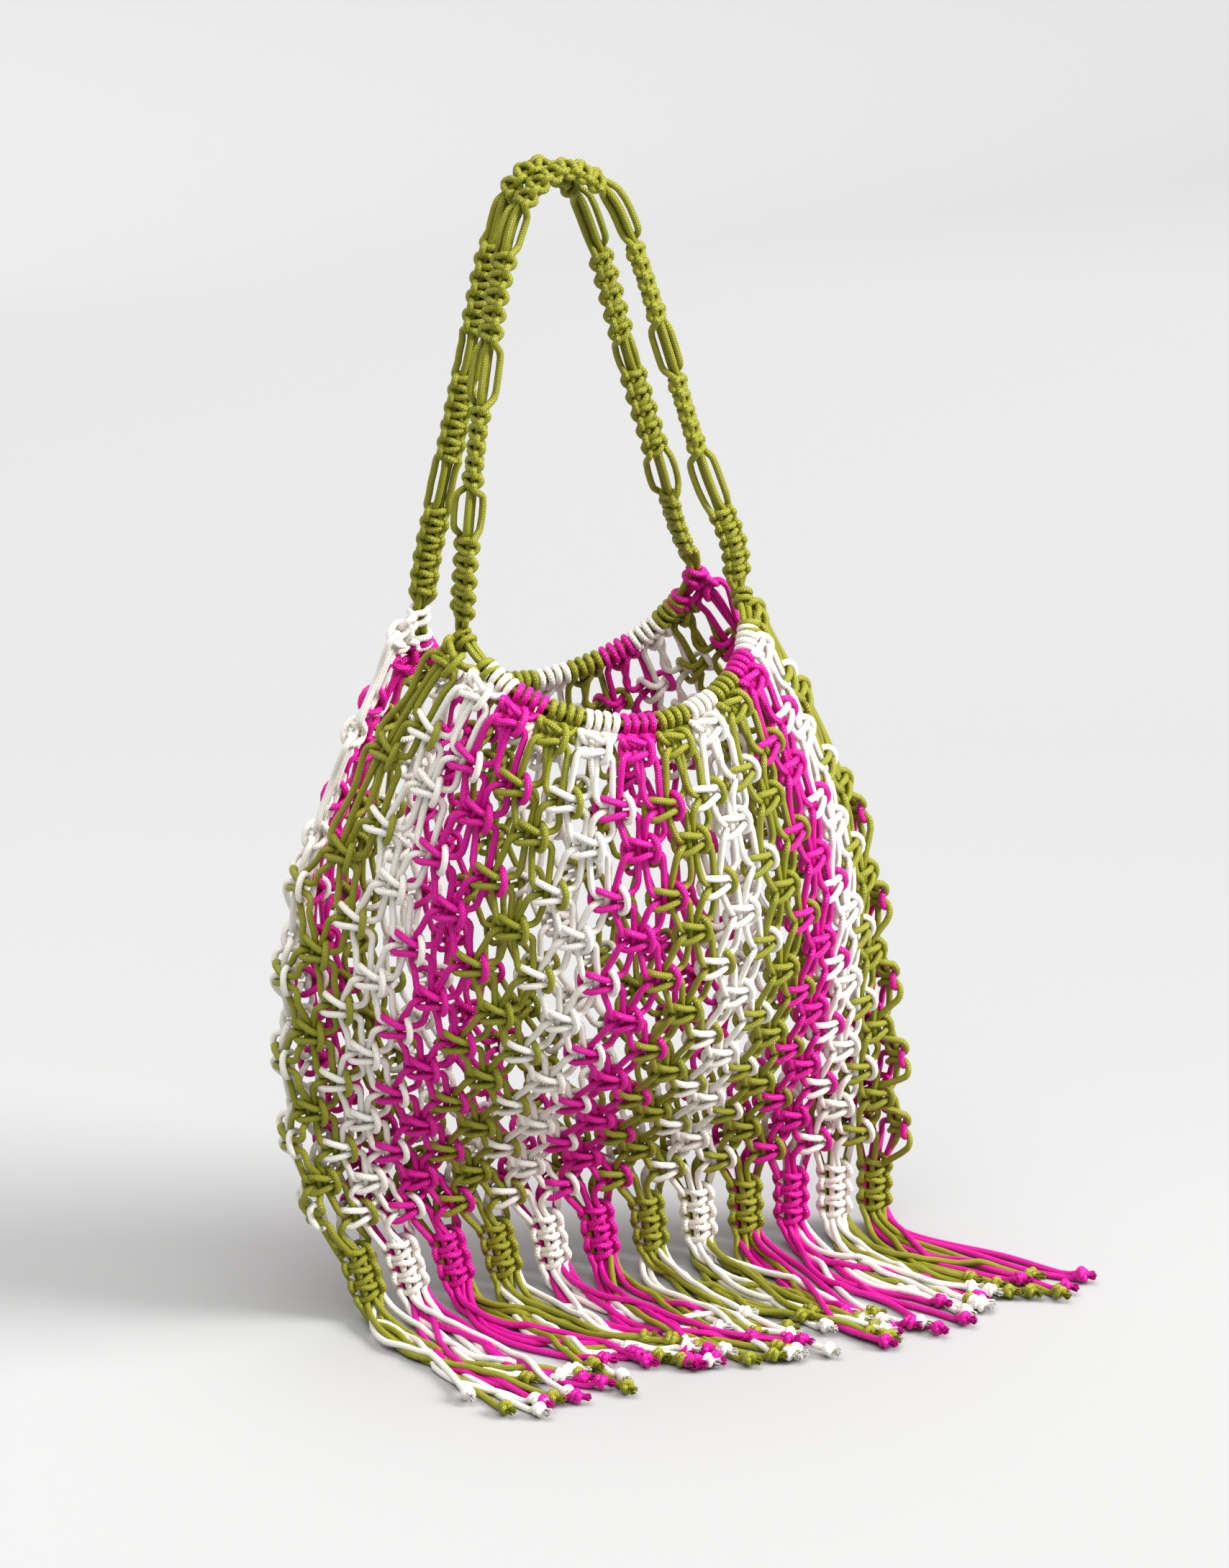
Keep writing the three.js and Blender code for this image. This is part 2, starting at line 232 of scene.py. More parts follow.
KNOT_B = ((-3.8, -3.0, 0), (-3.7, -2.1, 0.2), (-3.25, -1.15, 0.5), (-2.3, -0.65, 0.1),
          (-1.4, -0.6, -0.85), (-0.4, -1.1, -1.1), (0.35, -1.85, -0.6), (0.6, -2.2, 0.3),
          (1.1, -1.7, 1.05), (1.5, -0.7, 1.3), (1.6, 0.3, 1.3), (1.55, 1.2, 1.0),
          (1.15, 1.9, 0.3), (0.5, 1.6, -0.6), (-0.4, 0.9, -1.1), (-1.4, 0.35, -0.85),
          (-2.3, 0.25, 0.1), (-3.3, 0.6, 0.55), (-3.85, 1.4, 0.35), (-3.9, 2.5, 0))
FILLER_LEFT = ((-1.2, -1.6, 0), (-1.1, 0, 0), (-1.2, 1.5, 0))
FILLER_RIGHT = ((-0.2, -1.6, 0), (-0.1, 0, 0), (-0.1, 1.5, 0))

# The knot drawn tight, as it is stacked TIGHT_PITCH apart in the handles and in the sinnets. Its
# two workers are alike: B is A turned half round the knot's upright line.
TIGHT_PITCH = 2.77
TIGHT_A = ((1.95, -1.38, -0.4), (1.9, -0.85, -0.35), (1.45, -0.45, 0.05), (0.95, -0.43, 0.6),
           (0.4, -0.52, 1.0), (-0.1, -0.75, 1.12), (-0.7, -1.02, 0.9), (-1.2, -1.15, 0.2),
           (-1.5, -0.8, -0.6), (-1.68, 0, -1.1), (-1.5, 0.8, -0.6), (-1.2, 1.15, 0.2),
           (-0.7, 1.02, 0.9), (-0.1, 0.75, 1.12), (0.4, 0.52, 1.0), (0.95, 0.43, 0.6),
           (1.45, 0.45, 0.05), (1.9, 0.85, -0.35))
TIGHT_B = tuple((-x, y, -z) for x, y, z in TIGHT_A)

# How each strand of a column runs: its part in the column's own knots, then the way in columns
# to the knots that it shares with its neighbour, and its part in them.
OWN_KNOT = {1: KNOT_B, 2: FILLER_LEFT, 3: FILLER_RIGHT, 4: KNOT_A}
SHARED_KNOT = {1: (-0.5, FILLER_RIGHT), 2: (-0.5, KNOT_A), 3: (0.5, KNOT_B), 4: (0.5, FILLER_LEFT)}
# A column's two cords: the half that each hangs in, and the two strands that it folds into.
COLUMN_CORDS = ((-1, 1, 2), (1, 3, 4))
# How far the top shared knots hang below their rows, in rows, and how far each strand stands off
# its column, in columns, above the side joints.
ROW_DROPS = {1: 0.2, 3: 0.1}
OPEN_SIDE_SPREAD = {1: 0.3, 2: 0.14, 3: 0.14, 4: 0.3}

# Where a strand that ties no knot of a sinnet runs inside it, in cord diameters: across and out.
SINNET_LANES = {
    "front": {2: (-0.6, 0.5), 3: (0.6, 0.5)},
    "back": {1: (1.6, -0.2), 2: (0.55, -0.5), 3: (-0.55, -0.5), 4: (-1.6, -0.2)},
}

# Half a lark's head on the rim, in millimetres: across from its middle, down, and out.
# It runs from the tail below the collar, over the rim and back under it to the collar's middle.
# It is drawn for columns HEAD_PITCH apart, and never widened past WIDEST_HEAD.
HEAD_PITCH = 19.0
WIDEST_HEAD = 1.15
LARKS_HEAD = ((-2.3, 8.0, 0.8), (-2.3, 4.6, 3.6), (-2.3, 1.2, 5.6),
              (-2.3, -2.4, 4.6), (-2.3, -4.2, 0), (-2.4, -2.4, -4.6), (-2.5, 1.2, -5.6),
              (-3.0, 4.4, -3.8), (-3.7, 5.8, 0.6), (-3.2, 6.4, 4.2), (-1.4, 6.6, 5.4),
              (0, 6.6, 5.5))

# How far off the rim's middle line the core cords run, and the ends of the knotting cords, in
# millimetres. A core cord has RIM_POINTS along the rim, and an end lies along RIM_END_POINTS of them.
RIM_CORE_OUT = 1.9
RIM_END_OUT = 2.0
RIM_POINTS = 50
RIM_END_POINTS = 5

# An overhand knot along its cord, in cord diameters: along, across and up. Its middle is
# END_KNOT_START past the strand's tip and at least END_KNOT_HEIGHT over the floor. Its coil starts
# at an angle within END_KNOT_ROLLS, in radians.
END_KNOT_LEAD = ((-1.2, -0.2, 0), (-0.6, -0.35, 0), (0.3, -0.3, 0))
END_KNOT_TURNS = 1.4
END_KNOT_POINTS = 13
END_KNOT_RADIUS = 0.8
END_KNOT_HALF_LENGTH = 0.55
END_KNOT_TAIL = ((-0.5, 0.35, 0), (0.4, 0.3, 0), (1.2, 0.1, 0))
END_KNOT_START = 1.4
END_KNOT_HEIGHT = 1.32
END_KNOT_ROLLS = (0, 6.3)

CAMERA_AZIMUTH = math.radians(-29.7)
CAMERA_ELEVATION = math.radians(19.9)
CAMERA_TARGET = Vector((0.043, 0, -0.370))
CAMERA_DISTANCE = 2.5
CAMERA_LENS = 99.1
CAMERA_SENSOR = 36
CAMERA_REACH = 50
# Where each sun shines from, its power, and its softness in degrees.
SUNS = {"key": ((1.6, -1.25, 1.25), 4.1, 26), "overhead": ((-0.2, -0.3, 2.0), 2.85, 70)}
STUDIO_GLOW = 0.29
STUDIO_TINT = (1, 0.99, 0.97, 1)
PAPER_FINISH = {"Roughness": 0.9, "Specular IOR Level": 0.2}
# The paper, in metres: its front edge, where it curves up, the curve, its top edge and half width.
PAPER_FRONT = -5.0
PAPER_BEND = 2.4
PAPER_RADIUS = 1.2
PAPER_TOP = 5.0
PAPER_HALF_WIDTH = 6.0
PAPER_STEPS = 16
# Painted light and shade of the paper: its grey at distances in metres behind the origin, as the
# camera looks, lighter near the bag and darker behind it, as the studio light falls off.
PAPER_PAINTED_LIGHT = ((0.0, 0.4), (0.4, 0.375), (1.0, 0.36), (2.6, 0.37), (3.8, 0.335))


# Net surface

def section_value(name, row):
    """Smooth value of one column of the section table at any row."""
    rows = [section["row"] for section in SECTIONS]
    values = [section[name] for section in SECTIONS]
    last = len(rows) - 1
    i = min(max(int(np.searchsorted(rows, row)) - 1, 0), last - 1)

    def slope(a, b):
        return (values[b] - values[a]) / (rows[b] - rows[a])

    start_slope, end_slope = slope(max(i - 1, 0), i + 1), slope(i, min(i + 2, last))
    span = rows[i + 1] - rows[i]
    t = (row - rows[i]) / span
    rise = t * t * (3 - 2 * t)
    bend = span * (start_slope * t * (1 - t) ** 2 - end_slope * t * t * (1 - t))
    return values[i] * (1 - rise) + values[i + 1] * rise + bend


def panel_point(side, column, row):
    """Place on the middle surface of a panel; columns run 1 to 12 from left to right."""
    s = (column - (COLUMNS + 1) / 2) / (COLUMNS / 2)
    fall = 1 - abs(s) ** BULGE_POWER
    outwards = -1 if side == "front" else 1
    share = min(max(1 - (row - RIM_ROW) / (BACK_SAG_ENDS_ROW - RIM_ROW), 0), 1)
    sag = BACK_RIM_SAG * share * fall if side == "back" else 0
    crowding = section_value("crowding", row)
    bulge = section_value("gape", row) + section_value(f"{side}_belly", row) * fall
    return np.array((
        section_value("mid_x", row) + section_value("half_width", row)
        * (s * (1 + crowding) - crowding * s ** 3),
        section_value("shift_y", row) + section_value("lean", row) * s + outwards * bulge,
        section_value("mid_z", row) + section_value("end_rise", row) * (1 - fall) - sag,
    ))


def net_point(place, row):
    """Place on the net; places run 1 to 12 along the front and on to 24 along the back."""
    place = (place - 0.5) % PLACES + 0.5
    if place in (0.5, COLUMNS + 0.5):
        column = 0.5 if place == 0.5 else COLUMNS + 0.5
        return (panel_point("front", column, row) + panel_point("back", column, row)) / 2
    if place < COLUMNS + 0.5:
        return panel_point("front", place, row)
    return panel_point("back", PLACES + 1 - place, row)


def side_and_column(place):
    """The panel that a place of the net is on, and its column there."""
    return ("front", place) if place <= COLUMNS else ("back", PLACES + 1 - place)


def rim_point(side, column):
    """Place on a panel's rim."""
    return panel_point(side, column, RIM_ROW)


def unit(vector):
    """The same direction with a length of one."""
    return vector / np.linalg.norm(vector)


def net_axes(place, row):
    """Right, down and outward directions on the net as seen from outside it."""
    across, along = NET_REACH
    right = unit(net_point(place + across, row) - net_point(place - across, row))
    down = unit(net_point(place, row + along) - net_point(place, row - along))
    sum_way, split_way = unit(right + down), unit(right - down)
    right, down = unit(sum_way + split_way), unit(sum_way - split_way)
    return np.array((right, down, np.cross(down, right)))


def rim_axes(side, column):
    """Right, down and outward directions on a panel's rim as seen from outside it."""
    right = unit(rim_point(side, column + RIM_REACH) - rim_point(side, column - RIM_REACH))
    if side == "back":
        right = -right
    out = unit(np.array((right[1], -right[0], 0)))
    return np.array((right, np.cross(right, out), out))


def placed(template, origin, axes, size=(CORD, CORD, CORD)):
    """A template's points set at an origin, along its axes."""
    return origin + (np.array(template, float) * size) @ axes


# Smooth lines

def smooth_line(points, step=1.0):
    """Points along a centripetal spline through the given ones, about a step apart."""
    points = np.asarray(points, float)
    keep = np.r_[True, np.linalg.norm(np.diff(points, axis=0), axis=1) > CLOSEST_POINTS]
    points = points[keep]
    ends = np.vstack((2 * points[0] - points[1], points, 2 * points[-1] - points[-2]))
    line = []
    for p0, p1, p2, p3 in zip(ends, ends[1:], ends[2:], ends[3:]):
        t1 = math.sqrt(np.linalg.norm(p1 - p0))
        t2 = t1 + math.sqrt(np.linalg.norm(p2 - p1))
        t3 = t2 + math.sqrt(np.linalg.norm(p3 - p2))
        count = max(int(np.linalg.norm(p2 - p1) / step), 1)
        t = np.linspace(t1, t2, count, endpoint=False)[:, None]
        a1 = (t1 - t) / t1 * p0 + t / t1 * p1
        a2 = (t2 - t) / (t2 - t1) * p1 + (t - t1) / (t2 - t1) * p2
        a3 = (t3 - t) / (t3 - t2) * p2 + (t - t2) / (t3 - t2) * p3
        b1 = (t2 - t) / t2 * a1 + t / t2 * a2
        b2 = (t3 - t) / (t3 - t1) * a2 + (t - t1) / (t3 - t1) * a3
        line.append((t2 - t) / (t2 - t1) * b1 + (t - t1) / (t2 - t1) * b2)
    line = np.vstack((*line, points[-1:]))
    for _ in range(CORD_EASE):
        line[1:-1] = line[1:-1] / 2 + (line[:-2] + line[2:]) / 4
    return line


def thinned(line):
    """The same line with fewer points where it runs straight."""
    ways = np.diff(line, axis=0)
    lengths = np.linalg.norm(ways, axis=1)
    ways = ways / lengths[:, None]
    kept, way, run = [0], ways[0], lengths[0]
    for i in range(1, len(line) - 1):
        bent = math.acos(min(max(float(way @ ways[i]), -1), 1))
        if bent > THIN_TURN or run + lengths[i] > LONGEST_STEP:
            kept.append(i)
            way, run = ways[i], 0
        run += lengths[i]
    return line[[*kept, len(line) - 1]]


# Strands of the net

def strand_points(place, number):
    """One strand's points from its first knot to the last one above the seam."""
    shift, shared = SHARED_KNOT[number]
    points = []
    for row in range(SEAM_ROW):
        if row % 2 == 0:
            template = OWN_KNOT[number][1:] if row == 0 else OWN_KNOT[number]
            size = (CORD * (TOP_KNOT_WIDTH if row == 0 else KNOT_WIDTH), CORD, CORD)
            points.append(placed(template, net_point(place, row), net_axes(place, row), size))
            continue
        at = place + shift
        at_side = at in (0.5, COLUMNS + 0.5, PLACES + 0.5)
        if at_side and row < FIRST_SIDE_JOINT:
            points.append([net_point(place + OPEN_SIDE_SPREAD[number] * 2 * shift, row)])
        else:
            low = row + ROW_DROPS.get(row, 0)
            points.append(placed(shared, net_point(at, low), net_axes(at, low)))
    return np.vstack(points)


def larks_head(place, half):
    """A cord's loop over the rim, from its left tail to its right tail."""
    pitch = np.linalg.norm(net_point(place + 0.5, RIM_ROW) - net_point(place - 0.5, RIM_ROW))
    side, column = side_and_column(place)
    axes = rim_axes(side, column)
    origin = rim_point(side, column) + axes[0] * half * pitch / 4
    width = min(pitch / HEAD_PITCH, WIDEST_HEAD)
    left = placed(LARKS_HEAD, origin, axes, (width, 1, 1))
    right = placed(LARKS_HEAD, origin, axes, (-width, 1, 1))
    return np.vstack((left, right[-2::-1]))


def column_cord(place, half, left, right):
    """One folded cord of a column: up its left strand, over the rim and down its right one."""
    tails = [np.vstack((strand_points(place, number), sinnet_points(place, number)[:1]))
             for number in (left, right)]
    return np.vstack((tails[0][::-1], larks_head(place, half), tails[1]))


# Sinnets and fringe

def sinnet_origin(column, share):
    """Middle of a sinnet, from its top at share 0 to its foot at share 1."""
    row = SEAM_ROW + share * (SINNET_ROW - SEAM_ROW)
    return (panel_point("front", column, row) + panel_point("back", column, row)) / 2


def sinnet_axes(column):
    """Right, down and outward directions of a sinnet as seen from the front."""
    down = unit(sinnet_origin(column, 1) - sinnet_origin(column, 0))
    right_place = panel_point("front", column + SINNET_REACH, SEAM_ROW)
    left_place = panel_point("front", column - SINNET_REACH, SEAM_ROW)
    way = right_place - left_place
    right = unit(way - (way @ down) * down)
    return np.array((right, down, np.cross(down, right)))


def sinnet_points(place, number):
    """One strand's points through its sinnet: the front's outer strands tie its knots."""
    side, column = side_and_column(place)
    axes = sinnet_axes(column)
    height = np.linalg.norm(sinnet_origin(column, 1) - sinnet_origin(column, 0))
    width, depth = SINNET_KNOT_SIZE
    size = (width * CORD, height / SINNET_KNOTS / TIGHT_PITCH, depth * CORD)
    points = []
    for knot in range(SINNET_KNOTS):
        origin = sinnet_origin(column, (knot + 0.5) / SINNET_KNOTS)
        if number in SINNET_LANES[side]:
            across, out = SINNET_LANES[side][number]
            points.append(placed(((across, 0, out),), origin, axes))
        else:
            points.append(placed(TIGHT_B if number == 1 else TIGHT_A, origin, axes, size))
    return np.vstack(points)


def fringe_strand(column, foot_place, gather, chance):
    """One strand from its sinnet's foot, down to its layer and over the floor."""

    def draw(name):
        return chance.uniform(*FRINGE_RANGES[name])

    axes = sinnet_axes(column)
    from_middle = foot_place - (STRANDS - 1) / 2
    out = FOOT_DEPTH if foot_place in FRONT_PLACES else -FOOT_DEPTH
    foot = sinnet_origin(column, 1) + axes[0] * (from_middle * FOOT_PITCH) + axes[2] * out
    share = np.linspace(0, 1, FRINGE_STEPS + 1)
    spread = gather - from_middle * draw("fan") + draw("stray")
    bend = FRINGE_BEND * draw("bend")
    start = FRINGE_TURN * (1 - TURN_FALL * column / COLUMNS) + math.radians(spread) - bend / 2
    wave = math.radians(draw("wave"))
    turns = start + bend * share + wave * np.sin(share * draw("waves") + draw("wave_start"))
    reach = draw("reach") * (1 - REACH_FALL * column / COLUMNS)
    drop = draw("drop")
    height = FIRST_LAYER + LAYER_HEIGHT * (foot_place % FRINGE_LAYERS) + draw("lift")
    layer = FLOOR_Z + CORD * height
    ways = np.c_[np.sin(turns), -np.cos(turns)] * reach / FRINGE_STEPS
    line = np.empty((FRINGE_STEPS + 1, 3))
    line[:, :2] = foot[:2] + np.vstack(((0, 0), np.cumsum(ways[1:], axis=0)))
    line[:, 2] = layer + (foot[2] - layer) * np.exp(-(share * reach / drop) ** DROP_POWER)
    return line


def loose_fringe():
    """Every fringe strand's points, swept over the floor in loose crossing layers."""
    chance = np.random.default_rng(FRINGE_SEED)
    strands, keys = [], []
    for column in range(1, COLUMNS + 1):
        gather = chance.uniform(*FRINGE_RANGES["gather"])
        for place, foot_places in ((column, FRONT_PLACES), (PLACES + 1 - column, BACK_PLACES)):
            for number, foot_place in enumerate(foot_places, 1):
                strands.append(fringe_strand(column, foot_place, gather, chance))
                keys.append((place, number))
    lines = np.array(strands)
    push_apart(lines)
    return dict(zip(keys, lines))


def push_apart(lines):
    """Moves crossing strands off each other, mostly up or down, and keeps them on the floor."""
    count, steps, _ = lines.shape
    owner = np.repeat(np.arange(count), steps)
    lengths = np.linalg.norm(np.diff(lines, axis=1), axis=2)
    feet = lines[:, 0].copy()
    for turn in range(PUSH_ROUNDS):
        flat = lines.reshape(-1, 3)
        if turn % PUSH_SEARCH == 0:
            pairs = near_pairs(flat, owner, 2 * CORD)
        gap = flat[pairs[:, 0]] - flat[pairs[:, 1]]
        gap[:, 2] += np.where(gap[:, 2] >= 0, PUSH_UP, -PUSH_UP)
        far = np.linalg.norm(gap, axis=1)
        push = np.where(far < CORD, (CORD - far) / far * PUSH_SHARE, 0)[:, None] * gap
        push[:, :2] *= PUSH_SIDEWAYS
        np.add.at(flat, pairs[:, 0], push)
        np.add.at(flat, pairs[:, 1], -push)
        lines[:, 1:-1] += PUSH_EASE * (lines[:, :-2] + lines[:, 2:] - 2 * lines[:, 1:-1])
        lines[:, 1:, 2] -= PUSH_SINK
        lines[:, :, 2] = np.maximum(lines[:, :, 2], FLOOR_Z + CORD * 0.5)
        lines[:, 0] = feet
        for step in range(steps - 1):
            way = lines[:, step + 1] - lines[:, step]
            scale = lengths[:, step] / np.linalg.norm(way, axis=1)
            lines[:, step + 1] = lines[:, step] + way * scale[:, None]
    lines[:, :, 2] = np.maximum(lines[:, :, 2], FLOOR_Z + CORD * 0.5)


def near_pairs(points, owner, reach):
    """Pairs of points on different strands that lie within a reach of each other."""
    tree = KDTree(len(points))
    for i, point in enumerate(points):
        tree.insert(point, i)
    tree.balance()
    pairs = [(i, j) for i, point in enumerate(points)
             for _, j, _ in tree.find_range(point, reach) if i < j and owner[i] != owner[j]]
    return np.array(pairs, int).reshape(-1, 2)


def floor_axes(way):
    """Along, across and up directions for a cord that lies on the floor."""
    along = unit(np.array((way[0], way[1], 0)))
    return np.array((along, (-along[1], along[0], 0), (0, 0, 1)))


def end_knot(tip, way, roll):
    """An overhand knot and its short tail, past the tip of a fringe strand."""
    axes = floor_axes(way)
    angles = np.linspace(roll, roll + 2 * math.pi * END_KNOT_TURNS, END_KNOT_POINTS)
    alongs = np.linspace(END_KNOT_HALF_LENGTH, -END_KNOT_HALF_LENGTH, END_KNOT_POINTS)
    coil = np.c_[alongs, END_KNOT_RADIUS * np.cos(angles), END_KNOT_RADIUS * np.sin(angles)]
    origin = tip + axes[0] * END_KNOT_START * CORD
    origin[2] = max(tip[2], FLOOR_Z + END_KNOT_HEIGHT * CORD)
    return placed((*END_KNOT_LEAD, *coil, *END_KNOT_TAIL), origin, axes)


def tuft_fibres(tip, way, chance):
    """The cut end of a cord as a short dome of thin fibres."""
    axes = floor_axes(way)
    fibres = []
    for _ in range(TUFT_FIBRES):
        angle = chance.uniform(0, 2 * math.pi)
        part = math.sqrt(chance.uniform(0, 1))
        length = TUFT_LENGTH * (1 - TUFT_FALL * part ** 2) * chance.uniform(TUFT_SHORTEST, 1)
        across, up = TUFT_RING * part * math.cos(angle), TUFT_RING * part * math.sin(angle)
        stations = zip((-TUFT_ROOT, TUFT_MIDDLE * length, length), (1, *TUFT_FAN))
        points = [(along, fan * across, fan * up) for along, fan in stations]
        fibre = placed(points, tip, axes, (1, 1, 1))
        fibre[:, 2] = np.maximum(fibre[:, 2], FLOOR_Z + TUFT_FLOOR)
        fibres.append(fibre)
    return fibres


# Straps and rim

def strap_line(side):
    """Smooth middle line of a strap from rim to rim, with its length so far."""
    left_root, right_root = rim_point(side, ROOT_COLUMN), rim_point(side, COLUMNS + 1 - ROOT_COLUMN)
    line = smooth_line(np.vstack((left_root, STRAP_LINES[side], right_root)))
    return line, np.r_[0, np.cumsum(np.linalg.norm(np.diff(line, axis=0), axis=1))]


def strap_station(side, line, run, share):
    """Middle of a strap at a share of its length, and its axes turned as its blocks are."""
    total = run[-1]

    def at(distance):
        inside = min(max(distance, 0), total)
        return np.array([np.interp(inside, run, line[:, axis]) for axis in range(3)])

    turn = math.radians(strap_turn(side, share))
    along = unit(at(share * total + WAY_REACH) - at(share * total - WAY_REACH))
    facing = np.array((math.sin(CAMERA_AZIMUTH), -math.cos(CAMERA_AZIMUTH), 0))
    across = unit(np.cross(facing, along))
    out = np.cross(along, across)
    turned = across * math.cos(turn) + out * math.sin(turn)
    return at(share * total), np.array((turned, along, np.cross(along, turned)))


def strap_turn(side, share):
    """Turn of a strap: even in its blocks, and none in its open stretches."""
    blocks = STRAP_BLOCKS[side]
    shares, turns = [], []
    for number, (start, end) in enumerate(blocks):
        shares += [start + BLOCK_MARGIN, end - BLOCK_MARGIN]
        turns += [BLOCK_TURNS[side][number]] * 2
        if number + 1 < len(blocks):
            gap = blocks[number + 1][0] - end
            shares += [end + TURN_SHARE * gap, end + (1 - TURN_SHARE) * gap]
            turns += [0, 0]
    return np.interp(share, shares, turns)


def strap_strands(side):
    """Four strands of one strap: worker A, worker B and the two core cords."""
    line, run = strap_line(side)
    total = run[-1]
    blocks = STRAP_BLOCKS[side]
    strands = [[], [], [], []]
    width, depth = STRAP_KNOT_SIZE
    for number, (start, end) in enumerate(blocks):
        count = BLOCK_KNOTS[side][number]
        size = (CORD * width, (end - start) * total / count / TIGHT_PITCH, CORD * depth)
        for knot in range(count):
            share = start + (end - start) * (knot + 0.5) / count
            centre, axes = strap_station(side, line, run, share)
            strands[0].append(placed(TIGHT_A, centre, axes, size))
            strands[1].append(placed(TIGHT_B, centre, axes, size))
            for strand, across in ((strands[2], CORE_IN_BLOCK), (strands[3], -CORE_IN_BLOCK)):
                strand.append(placed(((across, 0, 0),), centre, axes))
        if number + 1 < len(blocks):
            gap = blocks[number + 1][0] - end
            for share in OPEN_SHARES:
                centre, axes = strap_station(side, line, run, end + gap * share)
                for strand, (across, out) in zip(strands, open_lanes(side, number, share)):
                    strand.append(placed(((across, 0, out),), centre, axes))
    return [np.vstack(strand) for strand in strands]


def open_lanes(side, number, share):
    """Where the four cords lie at a share of an open stretch, in cord diameters: across and out."""
    lean = OPEN_LEAN * math.sin(number * LEAN_STEP + LEAN_START)
    middle = math.sin(math.pi * share)
    bow = OPEN_BOWS[side][number] * (BOW_AT_ENDS + (1 - BOW_AT_ENDS) * middle)
    across, out = CORE_IN_STRETCH
    return (lean + bow, 0), (lean - bow, 0), (across, out), (-across, -out)


def rim_lane(side, out):
    """A line beside the rim, from its right end to its left end."""
    columns = np.linspace(COLUMNS + 1 - ROOT_COLUMN, ROOT_COLUMN, RIM_POINTS)
    return np.array([rim_point(side, column) + rim_axes(side, column)[2] * out for column in columns])


# Materials

def socket(tree, name, kind, in_out="INPUT", default=None):
    """A named socket of a node group."""
    made = tree.interface.new_socket(name=name, in_out=in_out, socket_type=kind)
    if default is not None:
        made.default_value = default
    return made


def set_values(node, values):
    """Sets a node's own sockets by their names."""
    for name, value in values.items():
        node.inputs[name].default_value = value


def math_node(tree, operation, *values):
    """A Math node whose inputs are numbers or other nodes' outputs."""
    node = tree.nodes.new("ShaderNodeMath")
    node.operation = operation
    for slot, value in zip(node.inputs, values):
        if isinstance(value, (int, float)):
            slot.default_value = value
        else:
            tree.links.new(value, slot)
    return node.outputs[0]


def braid_group():
    """Braided cord: carriers that cross left and right round the cord."""
    name = "braided_cord"
    if name in bpy.data.node_groups:
        return bpy.data.node_groups[name]
    tree = bpy.data.node_groups.new(name, "ShaderNodeTree")
    socket(tree, "Round", "NodeSocketVector")
    socket(tree, "Run", "NodeSocketFloat")
    socket(tree, "Carriers", "NodeSocketFloat", default=BRAID_CARRIERS)
    socket(tree, "Plait Length", "NodeSocketFloat", default=PLAIT_LENGTH)
    socket(tree, "Height", "NodeSocketFloat", "OUTPUT")
    inputs = tree.nodes.new("NodeGroupInput")
    output = tree.nodes.new("NodeGroupOutput")
    split = tree.nodes.new("ShaderNodeSeparateXYZ")
    tree.links.new(inputs.outputs["Round"], split.inputs[0])
    angle = math_node(tree, "ARCTAN2", split.outputs[1], split.outputs[0])
    turns = math_node(tree, "MULTIPLY", math_node(tree, "DIVIDE", angle, 2 * math.pi),
                      inputs.outputs["Carriers"])
    steps = math_node(tree, "DIVIDE", inputs.outputs["Run"], inputs.outputs["Plait Length"])
    rising = math_node(tree, "ADD", turns, steps)
    falling = math_node(tree, "SUBTRACT", turns, steps)
    crowns = []
    for way in (rising, falling):
        part = math_node(tree, "FRACT", way)
        crowns.append(math_node(tree, "SINE", math_node(tree, "MULTIPLY", part, math.pi)))
    cells = math_node(tree, "ADD", math_node(tree, "FLOOR", rising), math_node(tree, "FLOOR", falling))
    over = math_node(tree, "PINGPONG", cells, 1.0)
    under = math_node(tree, "SUBTRACT", 1.0, over)
    height = math_node(tree, "ADD", math_node(tree, "MULTIPLY", crowns[0], over),
                       math_node(tree, "MULTIPLY", crowns[1], under))
    tree.links.new(height, output.inputs["Height"])
    return tree


